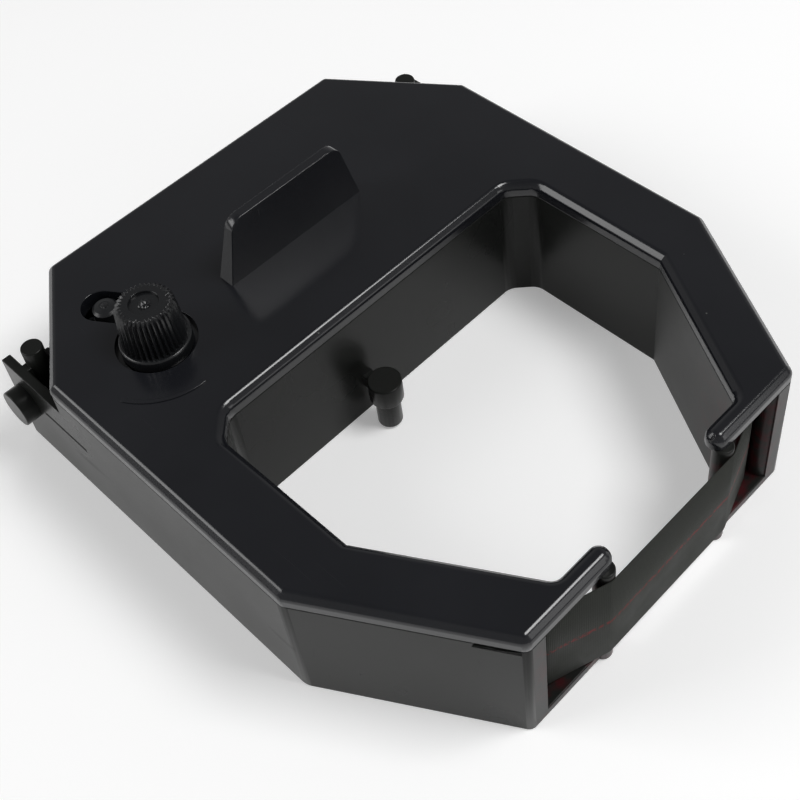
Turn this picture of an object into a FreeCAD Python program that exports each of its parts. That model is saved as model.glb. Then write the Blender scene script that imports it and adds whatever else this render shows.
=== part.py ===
import FreeCAD, Part
import math
import os
import re

import Sketcher

# Ribbon cartridge of a small printer, as a macro in millimetres.
# X runs along the ribbon, the feed knob is on the -X side, the ribbon crosses the mouth on the -Y side,
# and Z is up. The origin is the middle of the cartridge at its bottom.

Vec = FreeCAD.Vector
TURN = 360
UP = Vec(0, 0, 1)

doc = FreeCAD.newDocument("ribbon_cartridge")

# Driving dimensions. Lengths are in millimetres and angles in degrees.
SIZES = {
    # case, seen from above
    "half_width": 30.5,
    "half_depth": 34.725,
    "ribbon_proud": 0.75,
    "chamfer_width": 9.9,
    "chamfer_depth": 14.35,
    "arm_length": 19.15,
    "arm_slant": 11.2,
    "corner_radius": 1.0,
    "side_bend_radius": 2.2,
    # opening in the middle
    "side_width": 7.9,
    "spine_depth": 30.25,
    "inner_arm_length": 18.75,
    "mouth_width": 7.6,
    "opening_corner": 2.4,
    "opening_round": 2.0,
    "finger_fillet": 1.2,
    # floor, cover and walls
    "floor_thick": 1.2,
    "cover_thick": 1.8,
    "wall": 2.0,
    "inner_wall": 1.2,
    "cover_edge": 0.7,
    # fingers and posts at the mouth
    "finger_reach": 10.55,
    "finger_depth": 2.3,
    "finger_tip": 1.25,
    "post_radius": 1.05,
    "post_back": 0.45,
    "lip_radius": 1.3,
    "lip_inset": 1.55,
    "nose_inset": 4.5,
    "nose_back": 2.45,
    "nose_radius": 1.0,
    "pry_length": 4.2,
    "pry_height": 0.6,
    "pry_depth": 0.9,
    # ribbon
    "ribbon_width": 13.0,
    "ribbon_thick": 0.12,
    "ribbon_lift": 0.4,
    "ribbon_headroom": 0.7,
    # feed roller and knob
    "feed_inset": 11.2,
    "feed_back": 17.95,
    "feed_radius": 4.6,
    "feed_journal": 3.0,
    "feed_neck": 3.62,
    "feed_stub": 1.8,
    "feed_teeth": 20,
    "tooth_cut": 0.3,
    "running_gap": 0.08,
    "end_gap": 0.3,
    "seat_height": 0.6,
    "socket_radius": 2.0,
    "socket_entry": 3.0,
    "socket_core": 1.7,
    "socket_depth": 6.5,
    "socket_rib": 0.4,
    "socket_rib_height": 0.35,
    "knob_rise": 5.8,
    "knob_top_radius": 3.15,
    "knob_skirt_radius": 3.5,
    "knob_flange_radius": 3.8,
    "knob_flange_thick": 1.4,
    "knob_sink": 0.6,
    "knob_edge": 0.45,
    "knob_dimple_radius": 1.6,
    "knob_dimple_depth": 0.3,
    "knob_flutes": 36,
    "knob_flute_depth": 0.42,
    "knob_hole_radius": 4.3,
    "knob_ledge": 1.0,
    # idler roller on its sprung lever
    "nip_gap": 0.33,
    "idler_radius": 3.2,
    "idler_bearing": 95.0,
    "idler_teeth": 18,
    "lever_arm": 8.13,
    "lever_bearing": 43.5,
    "lever_thick": 1.2,
    "lever_half": 1.2,
    "lever_eye": 1.6,
    "sleeve_radius": 1.5,
    "pivot_radius": 0.9,
    "axle_radius": 0.9,
    "button_radius": 1.4,
    "button_dome": 0.4,
    "slot_half": 2.1,
    "slot_end": 3.0,
    "slot_sweep": 25.0,
    "catch_arm": 3.9,
    "catch_offset": 0.9,
    "catch_radius": 0.6,
    "spring_wire": 0.2,
    "spring_radius": 1.85,
    "spring_pitch": 0.55,
    "spring_turns": 2,
    "spring_leg": 5.0,
    "spring_height": 5.0,
    # guide rollers where the arms meet the sides
    "guide_inset": 4.7,
    "guide_front": 20.475,
    "guide_radius": 1.5,
    "guide_pin": 0.7,
    # brake where the ribbon leaves the store
    "brake_front": 29.5,
    "brake_length": 6.5,
    "brake_height": 11.0,
    "pad_thick": 1.2,
    "leaf_thick": 0.25,
    "leaf_reach": 6.5,
    "leaf_end": 2.5,
    "ribbon_play": 0.3,
    # store for the loose ribbon
    "store_left": 17.3,
    "store_right": 10.0,
    "store_wall": 1.0,
    "store_gate": 3.7,
    "throat_half": 2.2,
    "fold_radius": 0.42,
    "fold_crease": 85.0,
    "fold_margin": 1.3,
    "fold_wave": 2.4,
    # fin grip on the cover
    "fin_front": 18.35,
    "fin_base_half": 9.4,
    "fin_top_half": 7.4,
    "fin_base_thick": 2.2,
    "fin_top_thick": 1.1,
    "fin_rise": 8.0,
    "fin_corner": 1.6,
    # feed direction mark round the knob
    "mark_radius": 8.0,
    "mark_width": 0.45,
    "mark_height": 0.15,
    "mark_start": 206.0,
    "mark_sweep": 64.0,
    # ears and pivot pins behind the case
    "ear_reach": 10.7,
    "ear_height": 12.9,
    "ear_thick": 1.1,
    "ear_rib_back": 6.6,
    "ear_rib_thick": 1.2,
    "horn_inset": 2.6,
    "horn_radius": 1.2,
    "horn_height": 15.0,
    "pivot_pin_radius": 2.15,
    "pivot_pin_length": 1.8,
    "pivot_pin_height": 8.4,
    "slit_height": 8.8,
    "slit_width": 0.35,
    "slit_depth": 0.4,
    "slit_length": 7.3,
    # locating peg in the opening
    "peg_x": 2.8,
    "peg_stand": 2.9,
    "peg_collar_radius": 1.9,
    "peg_collar_low": 4.3,
    "peg_collar_high": 7.1,
    "peg_stem_radius": 1.4,
    "peg_foot": 0.3,
    "peg_web": 1.4,
    # pegs that hold the cover
    "dowel_radius": 0.75,
    "dowel_boss": 1.4,
    "dowel_length": 4.0,
    "dowel_gap": 0.05,
}

sheet = doc.addObject("Spreadsheet::Sheet", "Sizes")
for row, (alias, number) in enumerate(SIZES.items(), start=1):
    sheet.set("A" + str(row), alias)
    sheet.set("B" + str(row), str(number))
    sheet.setAlias("B" + str(row), alias)
doc.recompute()


def bind(text):
    """Expression text in which every size name points at its cell in the sheet."""
    return re.sub(r"[a-z]\w*", lambda word: "Sizes." + word[0] if word[0] in SIZES else word[0], text)


def size(alias):
    return float(sheet.get(alias))


def number(text):
    """Value of an expression in the sizes, worked out by the document."""
    return float(sheet.evalExpression(bind("1 * (" + text + ")")))


# Places that several pieces share, as expressions in the sizes above.
MOUTH = "(half_depth - ribbon_proud)"
WALL_TOP = "(floor_thick + ribbon_lift + ribbon_width + ribbon_headroom)"
CASE_TOP = "(" + WALL_TOP + " + cover_thick)"
BACK_TURN = "atan(chamfer_depth / chamfer_width)"
SIDE_TURN = "atan(chamfer_width / chamfer_depth)"
ARM_TURN = "atan(arm_slant / arm_length)"
INNER_TURN = "atan((arm_slant + mouth_width - side_width) / inner_arm_length)"
OPEN_X = "(half_width - side_width)"
OPEN_BACK = "(half_depth - spine_depth)"
OPEN_BEND = "(inner_arm_length - half_depth + ribbon_proud)"
FINGER_X = "(half_width - arm_slant - finger_reach)"
FINGER_Y = "(finger_depth - half_depth + ribbon_proud)"
NOSE_Y = "(nose_back - half_depth + ribbon_proud)"
FEED_X = "(feed_inset - half_width)"
FEED_Y = "(half_depth - feed_back)"
NIP = "(feed_radius + nip_gap + idler_radius)"
IDLER_X = "(" + FEED_X + " + " + NIP + " * cos(idler_bearing * 1deg))"
IDLER_Y = "(" + FEED_Y + " + " + NIP + " * sin(idler_bearing * 1deg))"
PIVOT_X = "(" + IDLER_X + " - lever_arm * cos(lever_bearing * 1deg))"
PIVOT_Y = "(" + IDLER_Y + " - lever_arm * sin(lever_bearing * 1deg))"
STORE_LEFT = "(store_left - half_width)"
STORE_RIGHT = "(half_width - store_right)"
GUIDE_X = "(half_width - guide_inset)"
GUIDE_Y = "(guide_front - half_depth + ribbon_proud)"
BRAKE_X = "(half_width - wall - 2 * ribbon_play)"
BRAKE_Y = "(brake_front - " + MOUTH + ")"
CLAMP_X = "(" + OPEN_X + " + inner_wall + 0.8)"
CLAMP_Y = "(" + BRAKE_Y + " - leaf_reach)"
EAR_END = "(half_depth - chamfer_depth + ear_reach)"
RIB_Y = "(half_depth - ear_rib_back)"


def outer_corners(inset, front):
    """Right half of the case outline, from the back to the front, moved inwards by inset."""
    mouth_x = "half_width - arm_slant - ({0}) / cos({1}) - ({2}) * tan({1})".format(inset, ARM_TURN, front)
    return [
        ("half_width - chamfer_width - ({0}) * tan({1} / 2)".format(inset, BACK_TURN),
         "half_depth - ({0})".format(inset)),
        ("half_width - ({0})".format(inset),
         "half_depth - chamfer_depth - ({0}) * tan({1} / 2)".format(inset, SIDE_TURN)),
        ("half_width - ({0})".format(inset),
         "arm_length - {2} + ({0}) * tan({1} / 2)".format(inset, ARM_TURN, MOUTH)),
        (mouth_x, "-{0} - ({1})".format(MOUTH, front)),
    ]


def opening_corners(outset, front_y):
    """Right half of the opening, from the front to the back, moved into the case by outset."""
    slant = "({0} - ({1})) * tan({2})".format(OPEN_BEND, front_y, INNER_TURN)
    return [
        ("{0} + ({1}) / cos({2}) - {3}".format(OPEN_X, outset, INNER_TURN, slant), front_y),
        ("{0} + ({1})".format(OPEN_X, outset),
         "{0} - ({1}) * tan({2} / 2)".format(OPEN_BEND, outset, INNER_TURN)),
        ("{0} + ({1})".format(OPEN_X, outset),
         "{0} - opening_corner + ({1}) * tan(22.5deg)".format(OPEN_BACK, outset)),
        ("{0} - opening_corner + ({1}) * tan(22.5deg)".format(OPEN_X, outset),
         "{0} + ({1})".format(OPEN_BACK, outset)),
    ]


def both_sides(half):
    """A right half and its mirror image, joined into one closed ring of corners."""
    return half + [("-(" + x + ")", y) for x, y in reversed(half)]


def new_body(label, place=None):
    body = doc.addObject("PartDesign::Body", label)
    body.Label = label
    for axis, text in zip("xyz", place or ()):
        body.setExpression("Placement.Base." + axis, bind(text))
    return body


def origin_feature(body, role):
    return next(item for item in body.Origin.OriginFeatures if item.Role == role)


def new_sketch(body, name, lift="0", role="XY_Plane"):
    """A sketch on one of the body's own planes, lifted along that plane's normal."""
    sketch = body.newObject("Sketcher::SketchObject", name)
    sketch.AttachmentSupport = [(origin_feature(body, role), "")]
    sketch.MapMode = "FlatFace"
    sketch.setExpression("AttachmentOffset.Base.z", bind("1 * (" + lift + ")"))
    return sketch


def fix(sketch, kind, geometry, point, text):
    """Ties a point of the sketch, or a radius, to an expression in the sizes."""
    if kind == "Radius":
        rule = sketch.addConstraint(Sketcher.Constraint(kind, geometry, 1.0))
    else:
        rule = sketch.addConstraint(Sketcher.Constraint(kind, -1, 1, geometry, point, 1.0))
    sketch.setExpression("Constraints[" + str(rule) + "]", bind("1 * (" + text + ")"))


def draw_loop(sketch, corners):
    """A closed ring of straight lines through the given corners."""
    first = sketch.GeometryCount
    count = len(corners)
    ring = [Vec(20, 0, 0)]
    for index in range(1, count + 1):
        angle = 2 * math.pi * index / count
        ring.append(Vec(20 * math.cos(angle), 20 * math.sin(angle), 0))
        sketch.addGeometry(Part.LineSegment(ring[-2], ring[-1]), False)
    for index, (x, y) in enumerate(corners):
        following = first + (index + 1) % count
        sketch.addConstraint(Sketcher.Constraint("Coincident", first + index, 2, following, 1))
        fix(sketch, "DistanceX", first + index, 1, x)
        fix(sketch, "DistanceY", first + index, 1, y)


def draw_box(sketch, low_x, low_y, high_x, high_y):
    draw_loop(sketch, [(low_x, low_y), (high_x, low_y), (high_x, high_y), (low_x, high_y)])


def draw_circle(sketch, x, y, radius):
    index = sketch.addGeometry(Part.Circle(Vec(0, 0, 0), UP, 1), False)
    fix(sketch, "DistanceX", index, 3, x)
    fix(sketch, "DistanceY", index, 3, y)
    fix(sketch, "Radius", index, 3, radius)


def draw_groove(sketch, radius, count):
    """V-shaped groove between two teeth of a roller."""
    half = "(" + radius + " * sin(180deg / " + count + ") * 0.7)"
    draw_loop(sketch, [
        (radius + " - tooth_cut", "0"),
        (radius + " + 0.1", "-" + half),
        (radius + " + 0.1", half),
    ])


def pad(body, sketch, length):
    feature = body.newObject("PartDesign::Pad", sketch.Name + "_pad")
    feature.Profile = sketch
    feature.setExpression("Length", bind("1mm * (" + length + ")"))
    return feature


def pocket(body, sketch, length, upwards=True):
    feature = body.newObject("PartDesign::Pocket", sketch.Name + "_pocket")
    feature.Profile = sketch
    feature.Reversed = upwards
    feature.setExpression("Length", bind("1mm * (" + length + ")"))
    return feature


def revolve(body, sketch):
    feature = body.newObject("PartDesign::Revolution", sketch.Name + "_turned")
    feature.Profile = sketch
    feature.ReferenceAxis = (sketch, ["V_Axis"])
    feature.Angle = TURN
    return feature


def polar(body, feature, count):
    pattern = body.newObject("PartDesign::PolarPattern", feature.Name + "_ring")
    pattern.Originals = [feature]
    pattern.Axis = (origin_feature(body, "Z_Axis"), [""])
    pattern.Angle = TURN
    pattern.setExpression("Occurrences", bind(count))
    body.Tip = pattern
    return pattern


def round_edges(body, radius, wanted):
    """Rounds the edges of the body's last feature that the function wanted picks."""
    doc.recompute()
    base = body.Tip
    names = ["Edge" + str(number) for number, edge in enumerate(base.Shape.Edges, start=1) if wanted(edge)]
    feature = body.newObject("PartDesign::Fillet", body.Label + "_round" + str(len(body.Group)))
    feature.Base = (base, names)
    feature.setExpression("Radius", bind(radius))
    return feature


def bevel_edges(body, width, wanted):
    """Chamfers every edge of the body's last feature for which wanted(edge) is true."""
    doc.recompute()
    base = body.Tip
    names = ["Edge" + str(number) for number, edge in enumerate(base.Shape.Edges, start=1) if wanted(edge)]
    feature = body.newObject("PartDesign::Chamfer", body.Label + "_bevel")
    feature.Base = (base, names)
    feature.setExpression("Size", bind(width))
    return feature


def upright(edge, low, high):
    """True for a straight vertical edge between the two heights."""
    box = edge.BoundBox
    flat = box.XLength < 0.001 and box.YLength < 0.001
    return flat and box.ZMin > low - 0.01 and box.ZMax < high + 0.01 and box.ZLength > 0.5


def outline_ring(tip):
    """The case seen from above, with its two fingers along the mouth, longer by tip."""
    right = outer_corners("0", "0")
    right.append((FINGER_X + " - " + tip, "-" + MOUTH))
    right.append((FINGER_X + " - " + tip, FINGER_Y))
    right += opening_corners("0", FINGER_Y)
    return both_sides(right)


def case_corner(edge):
    """True for the vertical edges at the outer corners of the case."""
    if not upright(edge, 0, number(CASE_TOP)):
        return False
    point = edge.Vertexes[0].Point
    behind = point.y > size("half_depth") - size("chamfer_depth") - 0.01
    wide = abs(point.x) > size("half_width") - size("arm_slant") - 0.01
    outside = abs(point.x) > size("half_width") - 0.01 or abs(point.y) > size("half_depth") - size("ribbon_proud") - 0.8
    return outside and (wide or (behind and abs(point.x) > size("half_width") - size("chamfer_width") - 0.01))


def side_bend(edge):
    """True for the vertical edges where an arm leaves the side of the case."""
    return case_corner(edge) and abs(edge.Vertexes[0].Point.y - number("arm_length - " + MOUTH)) < 0.01


def opening_corner(edge):
    """True for the vertical edges at the four blunt back corners of the opening."""
    if not upright(edge, 0, number(CASE_TOP)):
        return False
    point = edge.Vertexes[0].Point
    side = abs(abs(point.x) - number(OPEN_X)) < 0.01 and point.y > number(OPEN_BACK) - size("opening_corner") - 0.01
    back = abs(point.y - number(OPEN_BACK)) < 0.01 and abs(point.x) > number(OPEN_X) - size("opening_corner") - 0.01
    return side or back


def finger_root(edge):
    """True for the vertical edges where a finger leaves its arm."""
    point = edge.Vertexes[0].Point
    inward = abs(point.y - number(FINGER_Y)) < 0.01 and abs(point.x) > number(FINGER_X) + 1
    return inward and upright(edge, 0, number(CASE_TOP))


def finger_end(edge):
    """True for the vertical edges at the tips of the cover's fingers."""
    point = edge.Vertexes[0].Point
    tip = abs(abs(point.x) - number(FINGER_X) + size("finger_tip")) < 0.01
    return tip and upright(edge, 0, number(CASE_TOP))


# Bosses in the tray that take the cover's dowels: distance in from the side and from the back.
DOWELS = {
    "dowel_back_left": ("-(half_width - 13.5)", "half_depth - 3.7"),
    "dowel_back_right": ("half_width - 7.2", "half_depth - 7.2"),
    "dowel_side_left": ("-(half_width - wall - dowel_boss + 0.1)", "half_depth - 28.7"),
    "dowel_side_right": ("half_width - wall - dowel_boss + 0.1", "half_depth - 15.7"),
}


def make_tray():
    """Lower half of the case: floor, walls, posts, ears, pivot pins and locating peg in one moulding."""
    body = new_body("case_tray")
    block = new_sketch(body, "tray_outline")
    draw_loop(block, outline_ring("0"))
    pad(body, block, WALL_TOP)
    round_edges(body, "corner_radius", lambda edge: case_corner(edge) and not side_bend(edge))
    round_edges(body, "side_bend_radius", side_bend)
    round_edges(body, "opening_round", opening_corner)

    room = new_sketch(body, "ribbon_room", "floor_thick")
    draw_loop(room, both_sides(outer_corners("wall", "1")))
    draw_loop(room, both_sides(opening_corners("inner_wall", NOSE_Y)))
    pocket(body, room, CASE_TOP)

    posts = new_sketch(body, "mouth_posts")
    for sign in ("", "-"):
        draw_circle(posts, sign + FINGER_X, "post_back - " + MOUTH, "post_radius")
    pad(body, posts, WALL_TOP)
    noses = new_sketch(body, "arm_noses")
    for sign in ("", "-"):
        draw_circle(noses, sign + "(half_width - arm_slant - nose_inset)", NOSE_Y, "nose_radius")
        draw_circle(noses, sign + "(half_width - arm_slant - lip_inset)", "lip_radius - " + MOUTH, "lip_radius")
    pad(body, noses, WALL_TOP)

    pillars = new_sketch(body, "pillars")
    draw_circle(pillars, PIVOT_X, PIVOT_Y, "pivot_radius")
    draw_circle(pillars, GUIDE_X, GUIDE_Y, "guide_pin")
    draw_circle(pillars, "-" + GUIDE_X, GUIDE_Y, "guide_pin")
    pad(body, pillars, WALL_TOP + " - end_gap")

    anchor = new_sketch(body, "spring_anchor")
    draw_circle(anchor, PIVOT_X + " - spring_radius + spring_wire + 0.55", PIVOT_Y + " - spring_leg + 1", "0.5")
    pad(body, anchor, "spring_height + 3")

    gates = new_sketch(body, "store_walls")
    left = STORE_LEFT
    nip_y = "(" + FEED_Y + " + feed_radius)"
    draw_box(gates, left, OPEN_BACK + " + inner_wall / 2", left + " + store_wall", nip_y + " - throat_half")
    draw_box(gates, left, nip_y + " + throat_half", left + " + store_wall", "half_depth - wall / 2")
    draw_box(gates, STORE_RIGHT, OPEN_BACK + " + inner_wall + store_gate",
             STORE_RIGHT + " + store_wall", "half_depth - wall / 2")
    pad(body, gates, WALL_TOP + " - end_gap")

    bosses = new_sketch(body, "dowel_bosses")
    for x, y in DOWELS.values():
        draw_circle(bosses, x, y, "dowel_boss")
    pad(body, bosses, WALL_TOP)
    holes = new_sketch(body, "dowel_holes", WALL_TOP)
    for x, y in DOWELS.values():
        draw_circle(holes, x, y, "dowel_radius + dowel_gap")
    pocket(body, holes, "dowel_length + end_gap", upwards=False)

    seat = new_sketch(body, "feed_seat")
    draw_circle(seat, FEED_X, FEED_Y, "feed_journal + running_gap + 1.2")
    pad(body, seat, "floor_thick + seat_height")
    bore = new_sketch(body, "feed_bore")
    draw_circle(bore, FEED_X, FEED_Y, "feed_journal + running_gap")
    pocket(body, bore, "floor_thick + seat_height + 1")

    clamp = new_sketch(body, "leaf_clamp")
    draw_box(clamp, CLAMP_X + " - 1.2", CLAMP_Y + " - 0.8", CLAMP_X + " + 0.9", CLAMP_Y + " + leaf_end")
    pad(body, clamp, "floor_thick + brake_height + 1")
    cut = new_sketch(body, "leaf_slot", "floor_thick")
    draw_box(cut, CLAMP_X + " - leaf_thick / 2 - 0.03", CLAMP_Y,
             CLAMP_X + " + leaf_thick / 2 + 0.03", CLAMP_Y + " + leaf_end + 1")
    pocket(body, cut, CASE_TOP)

    for side, sign in (("right", ""), ("left", "-")):
        ear = new_sketch(body, "ear_" + side)
        draw_box(ear, sign + "(half_width - ear_thick)", "half_depth - chamfer_depth - wall",
                 sign + "half_width", EAR_END)
        draw_box(ear, sign + "(half_width - chamfer_width * ear_rib_back / chamfer_depth * 0.98)",
                 RIB_Y + " - ear_rib_thick / 2 + 0.001", sign + "(half_width - ear_thick)",
                 RIB_Y + " + ear_rib_thick / 2")
        pad(body, ear, "ear_height")
        horn = new_sketch(body, "horn_" + side)
        draw_circle(horn, sign + "(half_width - horn_inset)", RIB_Y, "horn_radius")
        pad(body, horn, "horn_height")
        pin = new_sketch(body, "pivot_" + side, sign + "half_width", "YZ_Plane")
        draw_circle(pin, RIB_Y, "pivot_pin_height", "pivot_pin_radius")
        outward = pad(body, pin, "pivot_pin_length")
        outward.Reversed = side == "left"

    slit = new_sketch(body, "side_slit", "-half_width", "YZ_Plane")
    slit_y = "(half_depth - chamfer_depth - 3)"
    draw_box(slit, slit_y, "slit_height", slit_y + " + slit_length", "slit_height + slit_width")
    pocket(body, slit, "slit_depth")

    pry = new_sketch(body, "pry_notch", WALL_TOP)
    draw_loop(pry, [
        ("-(half_width - arm_slant) - 1", "-" + MOUTH + " + 0.6"),
        ("-(half_width - arm_slant) + pry_depth", "-" + MOUTH + " + 0.6"),
        ("-(half_width - arm_slant) + pry_depth - pry_length * sin(" + ARM_TURN + ")",
         "-" + MOUTH + " + 0.6 + pry_length * cos(" + ARM_TURN + ")"),
        ("-(half_width - arm_slant) - 1 - pry_length * sin(" + ARM_TURN + ")",
         "-" + MOUTH + " + 0.6 + pry_length * cos(" + ARM_TURN + ")"),
    ])
    pocket(body, pry, "pry_height", upwards=False)

    peg_y = "(" + OPEN_BACK + " - peg_stand)"
    web = new_sketch(body, "peg_web", "peg_collar_low")
    draw_box(web, "-peg_x - peg_web / 2", peg_y, "-peg_x + peg_web / 2", OPEN_BACK + " + inner_wall / 2")
    pad(body, web, "(peg_collar_high - peg_collar_low) * 0.6")
    collar = new_sketch(body, "peg_collar", "peg_collar_low")
    draw_circle(collar, "-peg_x", peg_y, "peg_collar_radius")
    pad(body, collar, "peg_collar_high - peg_collar_low")
    stem = new_sketch(body, "peg_stem", "peg_foot")
    draw_circle(stem, "-peg_x", peg_y, "peg_stem_radius")
    pad(body, stem, "peg_collar_low")
    return body


def make_cover():
    """Upper half of the case: plate with raised panel, fingers, fin grip, knob hole, slot and dowels."""
    body = new_body("case_cover")
    plate = new_sketch(body, "cover_outline", WALL_TOP)
    draw_loop(plate, outline_ring("finger_tip"))
    pad(body, plate, "cover_thick")
    round_edges(body, "corner_radius", case_corner)
    round_edges(body, "opening_round", opening_corner)
    round_edges(body, "finger_fillet", finger_root)
    round_edges(body, "finger_depth * 0.49", finger_end)
    bevel_edges(body, "cover_edge", lambda edge: edge.BoundBox.ZMin > number(CASE_TOP) - 0.01)

    fin_y = "(half_depth - fin_front)"
    low = new_sketch(body, "fin_base", WALL_TOP + " + cover_thick - 0.3")
    draw_box(low, "-fin_base_half", fin_y, "fin_base_half", fin_y + " + fin_base_thick")
    high = new_sketch(body, "fin_top", CASE_TOP + " + fin_rise")
    draw_box(high, "-fin_top_half", fin_y + " + 0.1", "fin_top_half", fin_y + " + 0.1 + fin_top_thick")
    fin = body.newObject("PartDesign::AdditiveLoft", "fin_grip")
    fin.Profile = low
    fin.Sections = [high]
    round_edges(body, "fin_corner", fin_shoulder)

    hole = new_sketch(body, "knob_hole", WALL_TOP)
    draw_circle(hole, FEED_X, FEED_Y, "feed_neck + running_gap")
    pocket(body, hole, "cover_thick + 1")
    sink = new_sketch(body, "knob_sink", WALL_TOP + " + knob_ledge")
    draw_circle(sink, FEED_X, FEED_Y, "knob_hole_radius")
    pocket(body, sink, "cover_thick + 1")

    slot_high = "(lever_bearing + slot_end)"
    slot_low = "(lever_bearing - slot_sweep)"
    slot_mid = "((lever_bearing + slot_end / 2 - slot_sweep / 2) * 1deg)"
    ends = []
    for bearing in (slot_high, slot_low):
        ends.append((PIVOT_X + " + lever_arm * cos(" + bearing + " * 1deg)",
                     PIVOT_Y + " + lever_arm * sin(" + bearing + " * 1deg)"))
    slot = new_sketch(body, "idler_slot", WALL_TOP)
    side_x = "slot_half * cos(" + slot_mid + ")"
    side_y = "slot_half * sin(" + slot_mid + ")"
    draw_loop(slot, [
        (ends[0][0] + " + " + side_x, ends[0][1] + " + " + side_y),
        (ends[0][0] + " - " + side_x, ends[0][1] + " - " + side_y),
        (ends[1][0] + " - " + side_x, ends[1][1] + " - " + side_y),
        (ends[1][0] + " + " + side_x, ends[1][1] + " + " + side_y),
    ])
    pocket(body, slot, "cover_thick + 1")
    slot_round = new_sketch(body, "idler_slot_end", WALL_TOP)
    draw_circle(slot_round, ends[0][0], ends[0][1], "slot_half")
    pocket(body, slot_round, "cover_thick + 1")

    mark = new_sketch(body, "feed_mark", "-" + FEED_Y, "XZ_Plane")
    mark.setExpression("AttachmentOffset.Base.x", bind(FEED_X))
    mark.AttachmentOffset = FreeCAD.Placement(mark.AttachmentOffset.Base, FreeCAD.Rotation(Vec(0, 1, 0), 1))
    mark.setExpression("AttachmentOffset.Rotation.Angle", bind("mark_start * 1deg"))
    draw_box(mark, "mark_radius - mark_width / 2", CASE_TOP + " - 0.5", "mark_radius + mark_width / 2",
             CASE_TOP + " + mark_height")
    sweep = revolve(body, mark)
    sweep.setExpression("Angle", bind("mark_sweep * 1deg"))

    dowels = new_sketch(body, "dowels", WALL_TOP + " - dowel_length")
    for x, y in DOWELS.values():
        draw_circle(dowels, x, y, "dowel_radius")
    pad(body, dowels, "dowel_length + cover_thick / 2")
    return body


def fin_shoulder(edge):
    """True for the two short edges at the upper corners of the fin."""
    box = edge.BoundBox
    return box.ZMin > number(CASE_TOP) + size("fin_rise") - 0.01 and box.XLength < 0.01


def make_feed_roller():
    """Fluted roller that pulls the ribbon, with its journal, neck, stub and drive socket."""
    body = new_body("feed_roller", (FEED_X, FEED_Y, "0"))
    foot = "end_gap"
    shoulder = "(floor_thick + seat_height + end_gap)"
    top = "(" + WALL_TOP + " - end_gap - 0.3)"
    neck_top = "(" + WALL_TOP + " + knob_ledge - 0.1)"
    stub_top = "(" + CASE_TOP + " + knob_rise - 2)"
    profile = new_sketch(body, "roller_profile", role="XZ_Plane")
    draw_loop(profile, [
        ("socket_radius", foot),
        ("feed_journal", foot),
        ("feed_journal", shoulder),
        ("feed_radius", shoulder),
        ("feed_radius", top),
        ("feed_neck", top),
        ("feed_neck", neck_top),
        ("feed_stub", neck_top),
        ("feed_stub", stub_top),
        ("0", stub_top),
        ("0", "end_gap + socket_depth"),
        ("socket_core", "end_gap + socket_depth"),
        ("socket_core", "end_gap + socket_entry"),
        ("socket_radius", "end_gap + socket_entry"),
    ])
    revolve(body, profile)
    flute = new_sketch(body, "roller_flute", shoulder)
    draw_groove(flute, "feed_radius", "feed_teeth")
    polar(body, pocket(body, flute, top + " - " + shoulder), "feed_teeth")
    rib = new_sketch(body, "socket_rib", foot + " + socket_entry + 0.3")
    draw_box(rib, "socket_core - socket_rib_height", "-socket_rib / 2", "socket_core + 0.2", "socket_rib / 2")
    polar(body, pad(body, rib, "socket_depth - socket_entry"), "4")
    return body


def make_knob():
    """Serrated thumb knob, pressed on the feed roller's stub above the cover."""
    body = new_body("feed_knob", (FEED_X, FEED_Y, "0"))
    base = "(" + WALL_TOP + " + knob_ledge + 0.2)"
    ledge = "(" + base + " + knob_flange_thick)"
    crown = "(" + CASE_TOP + " + knob_rise)"
    profile = new_sketch(body, "knob_profile", role="XZ_Plane")
    draw_loop(profile, [
        ("feed_stub", base),
        ("knob_flange_radius", base),
        ("knob_flange_radius", ledge + " - 0.15"),
        ("knob_flange_radius - 0.15", ledge),
        ("feed_stub", ledge),
    ])
    revolve(body, profile)
    skirt = body.newObject("PartDesign::AdditiveLoft", "knob_skirt")
    rings = [
        serrated_ring(body, "skirt_foot", ledge, "knob_skirt_radius"),
        serrated_ring(body, "skirt_top", crown + " - knob_edge", "knob_top_radius"),
        serrated_ring(body, "skirt_rim", crown, "(knob_top_radius - knob_edge)"),
    ]
    skirt.Profile = rings[0]
    skirt.Sections = rings[1:]
    skirt.Ruled = True
    body.Tip = skirt
    bore = new_sketch(body, "knob_bore", base)
    draw_circle(bore, "0", "0", "feed_stub")
    pocket(body, bore, crown + " - 2 - " + base)
    dimple = new_sketch(body, "knob_dimple", crown)
    draw_circle(dimple, "0", "0", "knob_dimple_radius")
    pocket(body, dimple, "knob_dimple_depth", upwards=False)
    return body


def serrated_ring(body, name, lift, radius):
    """Outline of the knob's serrated skirt at one height: crests on the radius and valleys inside it."""
    sketch = new_sketch(body, name, lift)
    count = int(size("knob_flutes"))
    corners = []
    for index in range(2 * count):
        reach = "(" + radius + " - knob_flute_depth)" if index % 2 else radius
        angle = "(180deg * " + str(index) + " / knob_flutes)"
        corners.append((reach + " * cos" + angle, reach + " * sin" + angle))
    draw_loop(sketch, corners)
    return sketch


def make_idler_roller():
    """Fluted pinch roller that turns on the lever's axle."""
    body = new_body("idler_roller", (IDLER_X, IDLER_Y, "0"))
    low = "(floor_thick + end_gap + lever_thick + end_gap)"
    high = "(" + WALL_TOP + " - end_gap - lever_thick - end_gap)"
    profile = new_sketch(body, "idler_profile", role="XZ_Plane")
    draw_loop(profile, [
        ("axle_radius + running_gap", low),
        ("idler_radius", low),
        ("idler_radius", high),
        ("axle_radius + running_gap", high),
    ])
    revolve(body, profile)
    flute = new_sketch(body, "idler_flute", low)
    draw_groove(flute, "idler_radius", "idler_teeth")
    polar(body, pocket(body, flute, high + " - " + low), "idler_teeth")
    return body


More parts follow.
